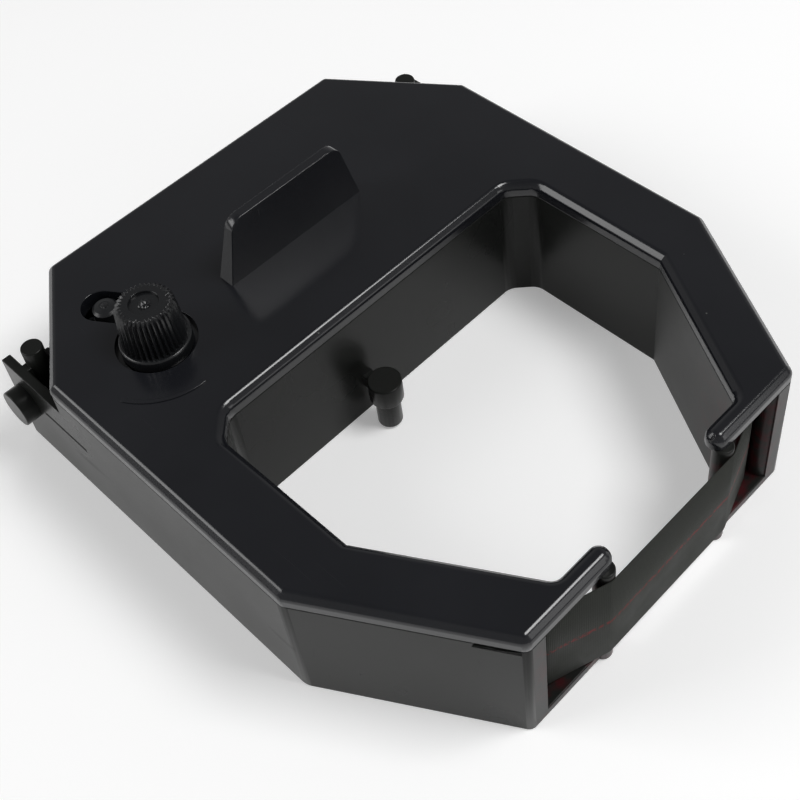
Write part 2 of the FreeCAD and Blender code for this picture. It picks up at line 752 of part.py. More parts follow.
def make_lever():
    """Two-plate lever that carries the idler roller and turns on the tray's pivot post."""
    body = new_body("idler_lever", (PIVOT_X, PIVOT_Y, "0"))
    low = "(floor_thick + end_gap)"
    high = "(" + WALL_TOP + " - end_gap)"
    along_x = "cos(lever_bearing * 1deg)"
    along_y = "sin(lever_bearing * 1deg)"
    eye_x = "lever_arm * " + along_x
    eye_y = "lever_arm * " + along_y

    sleeve = new_sketch(body, "lever_sleeve", low)
    draw_circle(sleeve, "0", "0", "sleeve_radius")
    pad(body, sleeve, high + " - " + low)
    for name, level in (("lower", low), ("upper", high + " - lever_thick")):
        bar = new_sketch(body, "lever_bar_" + name, level)
        draw_loop(bar, [
            ("lever_half * " + along_y, "-lever_half * " + along_x),
            (eye_x + " + lever_half * " + along_y, eye_y + " - lever_half * " + along_x),
            (eye_x + " - lever_half * " + along_y, eye_y + " + lever_half * " + along_x),
            ("-lever_half * " + along_y, "lever_half * " + along_x),
        ])
        pad(body, bar, "lever_thick")
        eye = new_sketch(body, "lever_eye_" + name, level)
        draw_circle(eye, eye_x, eye_y, "lever_eye")
        pad(body, eye, "lever_thick")
    catch = new_sketch(body, "spring_catch", low)
    draw_circle(catch, "catch_arm * " + along_x + " - catch_offset * " + along_y,
                "catch_arm * " + along_y + " + catch_offset * " + along_x, "catch_radius")
    pad(body, catch, high + " - " + low)
    bores = new_sketch(body, "lever_bores", "0")
    draw_circle(bores, "0", "0", "pivot_radius + running_gap")
    draw_circle(bores, eye_x, eye_y, "axle_radius")
    pocket(body, bores, CASE_TOP)
    return body


def make_axle():
    """Headed pin pressed into the lever, whose domed head is the button seen in the cover's slot."""
    body = new_body("idler_axle", (IDLER_X, IDLER_Y, "0"))
    foot = "(floor_thick + end_gap)"
    seat = "(" + WALL_TOP + " - end_gap)"
    profile = new_sketch(body, "axle_profile", role="XZ_Plane")
    draw_loop(profile, [
        ("0", foot),
        ("axle_radius", foot),
        ("axle_radius", seat),
        ("button_radius", seat),
        ("button_radius", CASE_TOP + " - button_dome"),
        ("button_radius * 0.8", CASE_TOP + " - button_dome * 0.35"),
        ("button_radius * 0.45", CASE_TOP),
        ("0", CASE_TOP),
    ])
    revolve(body, profile)
    return body


def make_guide(side, sign):
    """Plain roller on a pin of the tray, where an arm meets the side."""
    body = new_body("guide_roller_" + side, (sign + GUIDE_X, GUIDE_Y, "0"))
    low = "(floor_thick + end_gap)"
    high = "(" + WALL_TOP + " - end_gap)"
    profile = new_sketch(body, "guide_profile_" + side, role="XZ_Plane")
    draw_loop(profile, [
        ("guide_pin + running_gap", low),
        ("guide_radius", low),
        ("guide_radius", high),
        ("guide_pin + running_gap", high),
    ])
    revolve(body, profile)
    return body


def make_pad():
    """Felt pad on the end of the leaf spring, which keeps the free ribbon taut."""
    body = new_body("brake_pad")
    face = new_sketch(body, "pad_outline", "floor_thick + end_gap + 0.5")
    draw_box(face, BRAKE_X + " - pad_thick", BRAKE_Y, BRAKE_X, BRAKE_Y + " + brake_length")
    pad(body, face, "brake_height")
    front = number(BRAKE_X)
    round_edges(body, "ribbon_play",
                lambda edge: upright(edge, 0, number(CASE_TOP)) and edge.BoundBox.XMin > front - 0.01)
    return body


def make_leaf():
    """Steel leaf spring, held in the tray's clamp and bent outwards to the pad."""
    body = new_body("tension_leaf")
    pad_side = "(" + BRAKE_X + " - pad_thick)"
    clamp_side = "(" + CLAMP_X + " + leaf_thick / 2)"
    knee = "(" + CLAMP_Y + " + leaf_end + 0.5)"
    far_end = "(" + BRAKE_Y + " + brake_length)"
    strip = new_sketch(body, "leaf_outline", "floor_thick + end_gap + 0.5")
    draw_loop(strip, [
        (clamp_side + " - leaf_thick", CLAMP_Y),
        (clamp_side, CLAMP_Y),
        (clamp_side, knee),
        (pad_side, BRAKE_Y),
        (pad_side, far_end),
        (pad_side + " - leaf_thick", far_end),
        (pad_side + " - leaf_thick", BRAKE_Y),
        (clamp_side + " - leaf_thick", knee),
    ])
    pad(body, strip, "brake_height - 1")
    return body


def add_solid(label, shape):
    feature = doc.addObject("Part::Feature", label)
    feature.Label = label
    feature.Shape = shape
    return feature


def wire_section(centre, way):
    """Five-sided section of the spring's wire, square to the way it runs."""
    count = 5
    side = way.cross(UP) if abs(way.z) < 0.5 else Vec(1, 0, 0)
    corners = []
    for index in range(count + 1):
        angle = 2 * math.pi * index / count
        corners.append(centre + (side * math.cos(angle) + UP * math.sin(angle)) * size("spring_wire"))
    return Part.makePolygon(corners)


def make_spring():
    """Torsion spring round the lever's sleeve, with one leg on the tray and one on the lever's catch."""
    radius = size("spring_radius")
    leg = size("spring_leg")
    bearing = math.radians(size("lever_bearing"))
    # Past its full turns the coil winds on by the angle between the two legs.
    turns = size("spring_turns") + (90 - size("lever_bearing")) / TURN
    rise = size("spring_pitch") * turns
    path = Part.makeHelix(size("spring_pitch"), rise, radius, 0)
    path.rotate(Vec(0, 0, 0), UP, TURN / 2)
    start = Vec(-radius, 0, 0)
    coil = Part.Wire(path.Edges).makePipeShell([wire_section(start, Vec(0, 1, 0))], True, True)
    down = Vec(0, -1, 0)
    tray_leg = Part.Face(wire_section(start, down)).extrude(down * leg)
    along = Vec(math.cos(bearing), math.sin(bearing), 0)
    end = Vec(-radius * math.sin(bearing), radius * math.cos(bearing), rise)
    lever_leg = Part.Face(wire_section(end, along)).extrude(along * leg)
    spring = add_solid("idler_spring", coil.fuse([tray_leg, lever_leg]))
    spring.Placement.Base = Vec(number(PIVOT_X), number(PIVOT_Y), size("spring_height"))
    return spring


def ribbon_rounds():
    """Circles that the ribbon runs round, as centre, radius and turn: 1 is a left turn, -1 a right one."""
    thick = size("ribbon_thick")
    near = thick / 2 + 0.02
    tip_x = number(FINGER_X)
    tip_y = size("post_back") - number(MOUTH)
    nose_x = size("half_width") - size("arm_slant") - size("nose_inset")
    nose_y = number(NOSE_Y)
    guide_x = number(GUIDE_X)
    guide_y = number(GUIDE_Y)
    guide_r = size("guide_radius") + near + 0.05
    rounds = [
        (-tip_x, tip_y, size("post_radius") + near, -1),
        (-nose_x, nose_y, size("nose_radius") + near, -1),
        (-guide_x, guide_y, guide_r, -1),
        (number(FEED_X), number(FEED_Y), size("feed_radius") + size("nip_gap") / 2, -1),
    ]
    rounds += store_folds()
    edge_r = size("ribbon_play")
    edge_x = number(BRAKE_X) - edge_r
    rounds += [
        (edge_x, number(BRAKE_Y) + size("brake_length") - edge_r, edge_r + near, -1),
        (edge_x, number(BRAKE_Y) + edge_r, edge_r + near, -1),
        (guide_x, guide_y, guide_r, -1),
        (nose_x, nose_y, size("nose_radius") + near, -1),
        (tip_x, tip_y, size("post_radius") + near, -1),
    ]
    return rounds


def store_folds():
    """Loose folds of the ribbon in the store, from the rollers' throat to the gate on the right."""
    radius = size("fold_radius")
    low = number(OPEN_BACK + " + inner_wall + fold_margin")
    high = number("half_depth - wall - fold_margin")
    left = number(STORE_LEFT + " + store_wall") + 2.5 * radius
    right = number(STORE_RIGHT) - 2.5 * radius
    count = 2 * int((right - left) / (4 * radius))
    throat_y = number(FEED_Y) + size("feed_radius") + 2 * radius
    folds = [(left - 1.5 * radius, throat_y, radius, 1)]
    for index in range(count):
        slack = size("fold_wave") * abs(math.sin(1.7 * index + 0.4))
        x = left + (right - left) * index / (count - 1)
        if index % 2 == 0:
            folds.append((x, high - slack, radius, -1))
        else:
            folds.append((x, low + slack, radius, 1))
    return folds


def loose_fold(centre, start, bend, end):
    """Short straight creases by which the cloth turns round at a loose fold."""
    steps = max(1, round(abs(bend) / math.radians(size("fold_crease"))))
    turn = FreeCAD.Rotation(UP, math.degrees(bend) / steps)
    points = [start]
    for _ in range(steps - 1):
        points.append(centre + turn.multVec(points[-1] - centre))
    points.append(end)
    return [Part.LineSegment(one, two).toShape() for one, two in zip(points, points[1:])]


def belt_wire(rounds, shift):
    """Closed line of tangents and arcs round the circles, moved to the left of its way by shift."""
    count = len(rounds)
    touches = []
    for index in range(count):
        x1, y1, r1, turn1 = rounds[index]
        x2, y2, r2, turn2 = rounds[(index + 1) % count]
        reach = math.hypot(x2 - x1, y2 - y1)
        line = math.atan2(y2 - y1, x2 - x1)
        heading = line - math.asin((turn2 * r2 - turn1 * r1) / reach)
        side = Vec(-math.sin(heading), math.cos(heading), 0)
        leave = Vec(x1, y1, 0) - side * (turn1 * r1 - shift)
        meet = Vec(x2, y2, 0) - side * (turn2 * r2 - shift)
        touches.append((leave, meet, heading))
    edges = []
    for index in range(count):
        leave, meet, heading = touches[index]
        edges.append(Part.LineSegment(leave, meet).toShape())
        x, y, radius, turn = rounds[(index + 1) % count]
        following = touches[(index + 1) % count]
        bend = turn * ((following[2] - heading) * turn % (2 * math.pi))
        if abs(bend) > 0.0001 and abs(abs(bend) - 2 * math.pi) > 0.0001:
            half = heading + bend / 2
            side = Vec(-math.sin(half), math.cos(half), 0)
            middle = Vec(x, y, 0) - side * (turn * radius - shift)
            if radius == size("fold_radius"):
                edges += loose_fold(Vec(x, y, 0), meet, bend, following[0])
            else:
                edges.append(Part.Arc(meet, middle, following[0]).toShape())
    return Part.Wire(edges)


def make_ribbon():
    """Endless woven ribbon: the span across the mouth, both arms, the nip and the folded store."""
    rounds = ribbon_rounds()
    half = size("ribbon_thick") / 2
    outer = belt_wire(rounds, half)
    inner = belt_wire(rounds, -half)
    band = Part.Face(outer).cut(Part.Face(inner))
    solid = band.extrude(Vec(0, 0, size("ribbon_width")))
    ribbon = add_solid("ribbon", solid)
    ribbon.Placement.Base = Vec(0, 0, size("floor_thick") + size("ribbon_lift"))
    print("ribbon loop", round(belt_wire(rounds, 0).Length, 1), "mm long")
    return ribbon


SUB_PARTS = [
    make_tray(),
    make_cover(),
    make_feed_roller(),
    make_knob(),
    make_idler_roller(),
    make_lever(),
    make_axle(),
    make_guide("left", "-"),
    make_guide("right", ""),
    make_pad(),
    make_leaf(),
    make_spring(),
    make_ribbon(),
]
doc.recompute()

for item in doc.Objects:
    if "Invalid" in item.State or "Error" in item.State:
        raise RuntimeError(item.Label + " failed: " + str(item.State))
for piece in SUB_PARTS:
    if piece.Shape.isNull() or not piece.Shape.isValid() or not piece.Shape.Solids:
        raise RuntimeError(piece.Label + " has no valid solid")

os.makedirs("parts", exist_ok=True)
for piece in SUB_PARTS:
    piece.Shape.exportStep("parts/" + piece.Label + ".step")
    print(piece.Label, len(piece.Shape.Solids), round(piece.Shape.Volume, 2))
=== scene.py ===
"""Printer ribbon cartridge: black moulded case, endless inked ribbon, feed knob and idler button."""
import math

import bmesh
import bpy
from mathutils import Matrix, Vector, kdtree, noise


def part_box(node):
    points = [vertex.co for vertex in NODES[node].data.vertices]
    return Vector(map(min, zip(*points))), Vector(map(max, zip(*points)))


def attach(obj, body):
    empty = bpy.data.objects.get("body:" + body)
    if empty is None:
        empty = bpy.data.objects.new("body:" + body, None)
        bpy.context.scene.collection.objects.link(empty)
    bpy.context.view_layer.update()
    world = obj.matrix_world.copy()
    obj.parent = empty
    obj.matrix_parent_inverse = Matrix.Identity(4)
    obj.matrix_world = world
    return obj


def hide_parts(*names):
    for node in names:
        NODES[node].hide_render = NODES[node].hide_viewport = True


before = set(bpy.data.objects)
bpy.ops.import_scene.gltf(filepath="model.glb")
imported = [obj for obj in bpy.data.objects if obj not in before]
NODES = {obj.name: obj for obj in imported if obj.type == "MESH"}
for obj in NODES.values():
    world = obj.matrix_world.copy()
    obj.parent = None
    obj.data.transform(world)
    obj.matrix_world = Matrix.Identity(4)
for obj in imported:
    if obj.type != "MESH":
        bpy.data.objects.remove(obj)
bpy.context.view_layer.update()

MM = 0.001

# Places that the pieces and finishes refer to, in millimetres.
FEED_AXIS = (-19.3, 16.775)
BUTTON_AXIS = (-20.009, 24.874)
KNOB_TOP = 22.9
CASE_TOP = 17.1
RIBBON_WIDTH = 13.0
RIBBON_LENGTH = 947.3
# Where the map of the cloth begins: at the foot of the run across the mouth.
RIBBON_START = (-9.0, -34.7, 1.6)


# ---------------------------------------------------------------- colours and nodes

def srgb(text):
    """Linear colour of an sRGB hex value."""
    channels = [int(text[i:i + 2], 16) / 255 for i in (0, 2, 4)]
    return [c / 12.92 if c <= 0.04045 else ((c + 0.055) / 1.055) ** 2.4 for c in channels] + [1.0]


def new_material(name, ior, roughness):
    """Empty node material with the constants of its Principled shader, and that shader."""
    material = bpy.data.materials.new(name)
    material.use_nodes = True
    shader = material.node_tree.nodes["Principled BSDF"]
    shader.inputs["IOR"].default_value = ior
    shader.inputs["Roughness"].default_value = roughness
    return material, shader


def node(material, kind, settings=None, links=None):
    """One shader node, with its settings and the values of its sockets, and links into its sockets."""
    made = material.node_tree.nodes.new(kind)
    for key, value in (settings or {}).items():
        if isinstance(key, int) or key in made.inputs:
            made.inputs[key].default_value = value
        else:
            setattr(made, key, value)
    for key, source in (links or {}).items():
        material.node_tree.links.new(source, made.inputs[key])
    return made


def ramp(material, source, low, high, to_low, to_high):
    """Output that runs from to_low to to_high while the source goes from low to high."""
    return node(material, "ShaderNodeMapRange",
                {"From Min": low, "From Max": high, "To Min": to_low, "To Max": to_high},
                {"Value": source}).outputs["Result"]


def join(material, operation, first, second):
    """Output of a Math node on an output and an output or a number."""
    links, settings = {0: first}, {"operation": operation}
    if isinstance(second, (int, float)):
        settings[1] = second
    else:
        links[1] = second
    return node(material, "ShaderNodeMath", settings, links).outputs["Value"]


def tint(material, factor, first, second):
    """Colour that goes from the first, a hex value or an output, to the second as the factor rises."""
    settings, links = {"data_type": "RGBA"}, {0: factor}
    for socket, colour in ((6, first), (7, second)):
        if isinstance(colour, str):
            settings[socket] = srgb(colour)
        else:
            links[socket] = colour
    return node(material, "ShaderNodeMix", settings, links).outputs[2]


def connect(material, shader, **sockets):
    """Links outputs into the shader's sockets; an underscore in a name stands for a space."""
    for name, source in sockets.items():
        material.node_tree.links.new(source, shader.inputs[name.replace("_", " ")])


# ---------------------------------------------------------------- finishes

def moulded_plastic(name, ior, body, bloom, roughness, uneven, grain, depth, scratches):
    """Injection-moulded plastic: the mould's grain, clouds in its gloss, hairline scratches and dust.

    grain is the width of the mould's grain and depth its height, both in millimetres."""
    material, shader = new_material(name, ior, roughness)
    place = node(material, "ShaderNodeTexCoord").outputs["Object"]
    skin = node(material, "ShaderNodeTexNoise",
                {"Scale": 1 / (grain * MM), "Detail": 2.0, "Roughness": 0.55}, {"Vector": place})
    # Clouds 14 mm wide, where the melt cooled unevenly.
    cloud = node(material, "ShaderNodeTexNoise",
                 {"Scale": 1 / (14 * MM), "Detail": 3.0, "Roughness": 0.5}, {"Vector": place})
    # Hairlines 0.25 mm wide and some 12 mm long, drawn wider than real ones so that they show.
    across = node(material, "ShaderNodeMapping",
                  {"Rotation": (0.15, 0.25, 0.8),
                   "Scale": (1 / (0.25 * MM), 1 / (12 * MM), 1 / (3 * MM))},
                  {"Vector": place})
    hair = node(material, "ShaderNodeTexNoise", {"Scale": 1.0, "Detail": 1.0},
                {"Vector": across.outputs["Vector"]})
    scratch = ramp(material, hair.outputs["Fac"], 0.72, 0.80, 0.0, scratches)
    # Dust specks about 0.15 mm wide, some 6 mm apart.
    speck = node(material, "ShaderNodeTexVoronoi", {"Scale": 1 / (6 * MM)}, {"Vector": place})
    mote = ramp(material, speck.outputs["Distance"], 0.010, 0.022, 1.0, 0.0)
    clouded = ramp(material, cloud.outputs["Fac"], 0.3, 0.75, 0.0, 1.0)
    colour = tint(material, clouded, body, bloom)
    dusty = tint(material, join(material, "MULTIPLY", mote, 0.35), colour, "6b6c68")
    rough = ramp(material, cloud.outputs["Fac"], 0.3, 0.75, roughness, roughness + uneven)
    rough = join(material, "ADD", rough, join(material, "MULTIPLY", scratch, 0.25))
    rough = join(material, "ADD", rough, join(material, "MULTIPLY", mote, 0.3))
    height = join(material, "SUBTRACT", skin.outputs["Fac"], join(material, "MULTIPLY", scratch, 0.9))
    bump = node(material, "ShaderNodeBump", {"Strength": 1.0, "Distance": depth * MM},
                {"Height": height})
    connect(material, shader, Base_Color=dusty, Roughness=rough, Normal=bump.outputs["Normal"])
    return material, shader, place, dusty


def inked_tray_plastic():
    """Satin black ABS of the tray: fine spark grain, and dark red ink rubbed on by the ribbon's ends."""
    material, shader, place, colour = moulded_plastic(
        "satin_moulded_abs_tray", 1.53, "191a19", "20211f", 0.26, 0.07, 0.16, 0.003, 0.25)
    shader.inputs["Specular IOR Level"].default_value = 0.15
    parts = node(material, "ShaderNodeSeparateXYZ", links={"Vector": place}).outputs
    across = node(material, "ShaderNodeMath", {"operation": "ABSOLUTE"},
                  {0: parts["X"]}).outputs["Value"]
    # Ink lies on the last few millimetres of the fingers and arms, thicker in blots 1.5 mm wide.
    near_mouth = ramp(material, parts["Y"], -24 * MM, -33 * MM, 0.0, 1.0)
    blot = node(material, "ShaderNodeTexNoise", {"Scale": 1 / (1.5 * MM), "Detail": 3.0},
                {"Vector": place})
    inner_side = ramp(material, across, 19 * MM, 17 * MM, 0.0, 1.0)
    below_rim = ramp(material, parts["Z"], 15 * MM, 13 * MM, 0.0, 1.0)
    ink = join(material, "MULTIPLY", join(material, "MULTIPLY", near_mouth, inner_side), below_rim)
    ink = join(material, "MULTIPLY", ink, ramp(material, blot.outputs["Fac"], 0.42, 0.62, 0.0, 0.85))
    connect(material, shader, Base_Color=tint(material, ink, colour, "3c1216"))
    return material


def ribbon_cloth():
    """Fine nylon weave soaked with ink: matte grey-green black, with a broken dark red line."""
    material, shader = new_material("inked_nylon_weave", 1.53, 0.72)
    shader.inputs["Specular IOR Level"].default_value = 0.25
    shader.inputs["Sheen Weight"].default_value = 0.06
    shader.inputs["Sheen Roughness"].default_value = 0.5
    shader.inputs["Sheen Tint"].default_value = srgb("8d9088")
    along = node(material, "ShaderNodeUVMap", {"uv_map": "cloth"}).outputs["UV"]
    # The real threads are 0.1 mm apart and are drawn 0.3 mm apart, so that they show.
    thread = 0.3
    sized = node(material, "ShaderNodeMapping",
                 {"Scale": (RIBBON_LENGTH / thread, RIBBON_WIDTH / thread, 1.0)}, {"Vector": along})
    warp = node(material, "ShaderNodeTexWave",
                {"Scale": 0.5, "Distortion": 0.4, "bands_direction": "Y"},
                {"Vector": sized.outputs["Vector"]})
    weft = node(material, "ShaderNodeTexWave",
                {"Scale": 0.5, "Distortion": 0.4, "bands_direction": "X"},
                {"Vector": sized.outputs["Vector"]})
    weave = join(material, "MULTIPLY", warp.outputs["Fac"], weft.outputs["Fac"])
    # Millimetres along and across the ribbon, for the ink's patches and the worn line.
    ruler = node(material, "ShaderNodeMapping", {"Scale": (RIBBON_LENGTH, RIBBON_WIDTH, 1.0)},
                 {"Vector": along}).outputs["Vector"]
    patch = node(material, "ShaderNodeTexNoise", {"Scale": 0.22, "Detail": 4.0, "Roughness": 0.55},
                 {"Vector": ruler})
    fine = node(material, "ShaderNodeTexNoise", {"Scale": 2.4, "Detail": 2.0}, {"Vector": ruler})
    cloth = tint(material, ramp(material, patch.outputs["Fac"], 0.3, 0.7, 0.0, 1.0), "1f211e", "2b2d29")
    # Painted highlight: where the threads cross, the colour is lightened towards 3f413b, as if light
    # caught their tops.
    cloth = tint(material, join(material, "MULTIPLY", weave, 0.3), cloth, "3f413b")
    # The line lies a little below the middle, 0.35 mm wide, in dashes of one to four millimetres.
    height = node(material, "ShaderNodeSeparateXYZ", links={"Vector": ruler}).outputs["Y"]
    off = join(material, "SUBTRACT", height, 5.9)
    wander = join(material, "MULTIPLY", join(material, "SUBTRACT", patch.outputs["Fac"], 0.5), 0.9)
    off = node(material, "ShaderNodeMath", {"operation": "ABSOLUTE"},
               {0: join(material, "ADD", off, wander)}).outputs["Value"]
    line = ramp(material, off, 0.14, 0.32, 1.0, 0.0)
    dashes = ramp(material, fine.outputs["Fac"], 0.42, 0.54, 0.0, 1.0)
    cloth = tint(material, join(material, "MULTIPLY", line, dashes), cloth, "6a161c")
    rough = ramp(material, patch.outputs["Fac"], 0.3, 0.7, 0.62, 0.82)
    bump = node(material, "ShaderNodeBump", {"Strength": 0.8, "Distance": 0.03 * MM}, {"Height": weave})
    connect(material, shader, Base_Color=cloth, Roughness=rough, Normal=bump.outputs["Normal"])
    return material


def wool_felt():
    """Pressed wool felt of the brake: pale grey, matted fibres, dark where the ribbon has inked it."""
    material, shader = new_material("pressed_wool_felt", 1.5, 0.95)
    shader.inputs["Sheen Weight"].default_value = 0.6
    shader.inputs["Sheen Roughness"].default_value = 0.6
    place = node(material, "ShaderNodeTexCoord").outputs["Object"]
    # Fibres drawn 0.12 mm wide and a millimetre long.
    lay = node(material, "ShaderNodeMapping", {"Rotation": (0.5, 0.3, 0.2), "Scale": (1.0, 0.12, 0.5)},
               {"Vector": place})
    fibre = node(material, "ShaderNodeTexNoise",
                 {"Scale": 1 / (0.12 * MM), "Detail": 4.0, "Distortion": 1.5},
                 {"Vector": lay.outputs["Vector"]})
    blot = node(material, "ShaderNodeTexNoise", {"Scale": 1 / (2.5 * MM), "Detail": 3.0},
                {"Vector": place})
    wool = tint(material, fibre.outputs["Fac"], "5d5a55", "9a968e")
    inked = tint(material, ramp(material, blot.outputs["Fac"], 0.42, 0.6, 0.0, 0.8), wool, "2a2422")
    bump = node(material, "ShaderNodeBump", {"Strength": 1.0, "Distance": 0.08 * MM},
                {"Height": fibre.outputs["Fac"]})
    rough = ramp(material, fibre.outputs["Fac"], 0.3, 0.7, 0.9, 1.0)
    connect(material, shader, Base_Color=inked, Roughness=rough, Normal=bump.outputs["Normal"])
    return material


def spring_steel(name, hexes, roughness, grain, lengthwise):
    """Drawn or rolled steel: bright, with fine lines along the way it was worked."""
    material, shader = new_material(name, 1.5, roughness)
    shader.inputs["Metallic"].default_value = 1.0
    shader.inputs["Anisotropic"].default_value = 0.4
    place = node(material, "ShaderNodeTexCoord").outputs["Object"]
    drawn = node(material, "ShaderNodeMapping", {"Scale": lengthwise}, {"Vector": place})
    lines = node(material, "ShaderNodeTexNoise", {"Scale": 1 / (grain * MM), "Detail": 3.0},
                 {"Vector": drawn.outputs["Vector"]})
    colour = tint(material, lines.outputs["Fac"], *hexes)
    rough = ramp(material, lines.outputs["Fac"], 0.3, 0.7, roughness, roughness + 0.12)
    bump = node(material, "ShaderNodeBump", {"Strength": 0.6, "Distance": 0.002 * MM},
                {"Height": lines.outputs["Fac"]})
    connect(material, shader, Base_Color=colour, Roughness=rough, Normal=bump.outputs["Normal"])
    return material


tray_plastic = inked_tray_plastic()
# Glossier ABS with a faint blue cast: it mirrors the fin and shows hairlines when the light grazes it.
cover_plastic = moulded_plastic(
    "gloss_moulded_abs_cover", 1.53, "15161a", "1a1b1f", 0.16, 0.07, 0.30, 0.0012, 0.4)[0]
# Polished black ABS of the knob, rubbed by fingers.
knob_plastic = moulded_plastic(
    "polished_moulded_abs_knob", 1.53, "131416", "1a1b1d", 0.22, 0.08, 0.20, 0.002, 0.6)[0]
# Acetal of the rollers and the lever: waxy, a little greyer than the case.
roller_plastic = moulded_plastic(
    "waxy_moulded_acetal", 1.48, "1f2022", "28292b", 0.36, 0.08, 0.22, 0.003, 0.3)[0]
# The same acetal on the headed pin, whose top is worn to a satin by the edge of the slot.
button_plastic = moulded_plastic(
    "satin_moulded_acetal_button", 1.48, "17181a", "202123", 0.28, 0.08, 0.18, 0.003, 0.4)[0]
ribbon_finish = ribbon_cloth()
felt_finish = wool_felt()
# Hard drawn wire and rolled strip: bright, with lines along the way they were drawn or rolled.
wire_finish = spring_steel("drawn_spring_wire", ("8f9096", "c4c5c9"), 0.24, 0.05, (1.0, 1.0, 1.0))
strip_finish = spring_steel("rolled_spring_strip", ("9a9a98", "c9c8c4"), 0.28, 0.06, (1.0, 0.04, 1.0))


# ---------------------------------------------------------------- pieces

def place_piece(name, mesh_data, material, body):
    """Puts a finished bmesh in the scene at the origin, with its finish, slot and body."""
    mesh = bpy.data.meshes.new(name)
    mesh_data.to_mesh(mesh)
    mesh_data.free()
    mesh.materials.append(material)
    piece = bpy.data.objects.new(name, mesh)
    bpy.context.scene.collection.objects.link(piece)
    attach(piece, body)
    return piece


def merged_copy(name):
    """bmesh of a CAD node with its loose triangles joined into whole flat faces and quads."""
    work = bmesh.new()
    work.from_mesh(NODES[name].data)
    bmesh.ops.remove_doubles(work, verts=work.verts, dist=0.002 * MM)
    bmesh.ops.dissolve_limit(work, angle_limit=math.radians(0.6), verts=work.verts, edges=work.edges,
                             use_dissolve_boundaries=False, delimit=set())
    bmesh.ops.join_triangles(work, faces=[face for face in work.faces if len(face.verts) == 3],
                             angle_face_threshold=math.radians(4),
                             angle_shape_threshold=math.radians(60))
    return work


def softened(name, node_name, material, body, width, fine, sharp=32):
    """Moulded piece with the CAD node's shape, in place of that node.

    The outer edges of its slanted rim are rounded by width and its other outer edges by fine, in
    millimetres. An edge counts where its faces turn by more than sharp, in degrees."""
    work = merged_copy(node_name)
    slanted = {face for face in work.faces
               if abs(face.normal.z - 0.707) < 0.05 and face.calc_center_median().z < CASE_TOP * MM}
    weight = work.edges.layers.float.new("bevel_weight_edge")
    for edge in work.edges:
        if edge.calc_face_angle(0) > math.radians(sharp):
            if edge.is_convex:
                edge[weight] = fine / width if slanted.isdisjoint(edge.link_faces) else 1.0
            else:
                edge.smooth = False
    for face in work.faces:
        face.smooth = len(face.verts) <= 4 and face.calc_area() < 6 * MM * MM
    piece = place_piece(name, work, material, body)
    bevel = piece.modifiers.new("round_edges", "BEVEL")
    bevel.limit_method = "WEIGHT"
    bevel.width = width * MM
    bevel.segments = 3
    bevel.profile = 0.5
    bevel.use_clamp_overlap = False
    bevel.harden_normals = True
    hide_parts(node_name)


def endless_ribbon():
    """The cloth loop: the outer skin of its CAD solid, numbered along its length, with a thin body."""
    work = merged_copy("ribbon")
    flat = [face for face in work.faces if abs(face.normal.z) > 0.5]
    bmesh.ops.delete(work, geom=flat, context="FACES")
    outer = max(skins(work), key=lambda skin: sum(face.calc_area() for face in skin))
    bmesh.ops.delete(work, geom=[face for face in work.faces if face not in outer], context="FACES")
    long_runs = [edge for edge in work.edges if is_level(edge) and edge.calc_length() > 4 * MM]
    bmesh.ops.subdivide_edges(work, edges=long_runs, cuts=9, use_grid_fill=True)
    number_cloth(work)
    for face in work.faces:
        face.smooth = True
    piece = place_piece("inked_ribbon", work, ribbon_finish, "case")
    body = piece.modifiers.new("cloth_body", "SOLIDIFY")
    body.thickness = 0.11 * MM
    body.offset = -1.0
    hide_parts("ribbon")


def is_level(edge):
    """Whether the edge runs along the cloth, and not up its width."""
    return abs(edge.verts[0].co.z - edge.verts[1].co.z) < 0.1 * MM


def skins(work):
    """The groups of faces that hang together."""
    left, groups = set(work.faces), []
    while left:
        group, waiting = set(), [left.pop()]
        while waiting:
            face = waiting.pop()
            group.add(face)
            for edge in face.edges:
                for other in edge.link_faces:
                    if other in left:
                        left.discard(other)
                        waiting.append(other)
        groups.append(group)
    return groups


def number_cloth(work):
    """Gives the loop its map: along the cloth from 0 to 1, and up its width."""
    cloth = work.loops.layers.uv.new("cloth")
    low = min(v.co.z for v in work.verts)
    foot_row = [v for v in work.verts if v.co.z < low + 0.01 * MM]
    start = min(foot_row, key=lambda v: (v.co - Vector(RIBBON_START) * MM).length)
    run, here, came, order = 0.0, start, None, []
    while not order or here is not start:
        order.append((here, run))
        came = next(edge for edge in here.link_edges if edge is not came and is_level(edge))
        run += came.calc_length()
        here = came.other_vert(here)
    foot = kdtree.KDTree(len(order))
    for index, (vertex, _) in enumerate(order):
        foot.insert((vertex.co.x, vertex.co.y, 0.0), index)
    foot.balance()
    for face in work.faces:
        spots = [loop.vert.co for loop in face.loops]
        values = [order[foot.find((spot.x, spot.y, 0.0))[1]][1] / run for spot in spots]
        wraps = max(values) - min(values) > 0.5
        for loop, value in zip(face.loops, values):
            if wraps and value < 0.5:
                value += 1.0
            loop[cloth].uv = (value, (loop.vert.co.z - low) / (RIBBON_WIDTH * MM))


